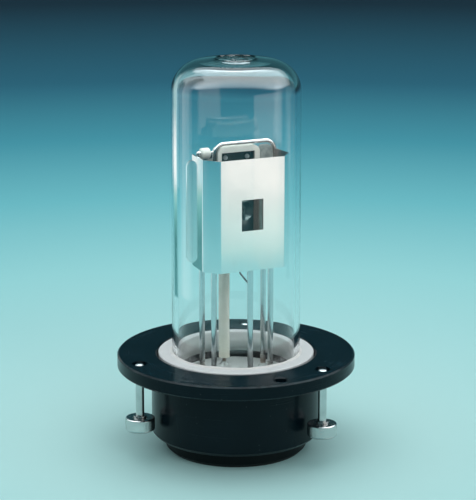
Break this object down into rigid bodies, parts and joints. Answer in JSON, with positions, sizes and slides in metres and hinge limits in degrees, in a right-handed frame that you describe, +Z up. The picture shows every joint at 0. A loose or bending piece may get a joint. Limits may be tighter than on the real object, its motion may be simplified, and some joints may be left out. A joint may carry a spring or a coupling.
{
  "type": "hplc detector lamp",
  "caption": "Deuterium lamp for a chromatography detector: domed silica bulb with a nickel electrode box, cemented in a black flanged holder with captive thumbscrews.",
  "frame": {"origin": "centre of the underside of the foot that the lamp stands on", "axes": "+Z up along the bulb; -Y is the side that the window of the electrode box and the alignment hole face; +X to the right seen from there"},
  "size_m": [0.057, 0.057, 0.0952],
  "materials": {
    "black_anodised": "black anodised, satin",
    "black_plastic": "matt black moulded",
    "screw_steel": "bright turned and knurled stainless steel",
    "black_rubber": "matt",
    "white_ceramic": "unglazed, fine grained",
    "white_cement": "dry cement, slightly rough",
    "silica_glass": "clear, fire polished",
    "stem_glass": "pressed, slightly milky",
    "lead_wire": "drawn nickel alloy rod",
    "cream_ceramic": "unglazed cream tube",
    "nickel_sheet": "bright satin nickel sheet",
    "molybdenum": "dull grey refractory metal",
    "nickel_wire": "bright drawn wire",
    "grey_nickel": "mottled grey, matt",
    "tungsten_wire": "dark drawn wire"
  },
  "bodies": {
    "root": {"lamp_holder": "black_anodised", "base_foot": "black_plastic", "foot_screws": "screw_steel", "cable_grommet": "black_rubber", "ceramic_collar": "white_ceramic", "bulb_cement": "white_cement", "bulb_envelope": "silica_glass", "glass_stem": "stem_glass", "rear_left_lead": "lead_wire", "rear_right_lead": "lead_wire", "front_left_lead": "lead_wire", "front_right_lead": "lead_wire", "cathode_lead": "lead_wire", "anode_lead": "lead_wire", "lead_insulator": "cream_ceramic", "front_shield": "nickel_sheet", "back_plate": "nickel_sheet", "rear_cover": "nickel_sheet", "aperture_plate": "molybdenum", "anode_housing": "white_ceramic", "anode_plate": "molybdenum", "retaining_hoop": "nickel_wire", "ceramic_sleeve": "white_ceramic", "tie_rod": "nickel_wire", "cathode_terminal": "grey_nickel", "cathode_channel": "nickel_sheet", "cathode_coil": "tungsten_wire", "cathode_wire": "tungsten_wire"},
    "washer_1": {"screw_washer_1": "screw_steel"},
    "screw_1": {"thumbscrew_1": "screw_steel"},
    "washer_2": {"screw_washer_2": "screw_steel"},
    "screw_2": {"thumbscrew_2": "screw_steel"},
    "washer_3": {"screw_washer_3": "screw_steel"},
    "screw_3": {"thumbscrew_3": "screw_steel"}
  },
  "joints": [
    {"name": "screw_1_slide", "type": "slide", "parent": "root", "child": "washer_1", "axis": [0, 0, 1], "range_m": [0, 0.009]},
    {"name": "screw_1_turn", "type": "hinge", "parent": "washer_1", "child": "screw_1", "pos_m": [0.01247, 0.02161, 0.009], "axis": [0, 0, 1], "continuous": true},
    {"name": "screw_2_slide", "type": "slide", "parent": "root", "child": "washer_2", "axis": [0, 0, 1], "range_m": [0, 0.009]},
    {"name": "screw_2_turn", "type": "hinge", "parent": "washer_2", "child": "screw_2", "pos_m": [-0.02495, 0, 0.009], "axis": [0, 0, 1], "continuous": true},
    {"name": "screw_3_slide", "type": "slide", "parent": "root", "child": "washer_3", "axis": [0, 0, 1], "range_m": [0, 0.009]},
    {"name": "screw_3_turn", "type": "hinge", "parent": "washer_3", "child": "screw_3", "pos_m": [0.01247, -0.02161, 0.009], "axis": [0, 0, 1], "continuous": true}
  ]
}
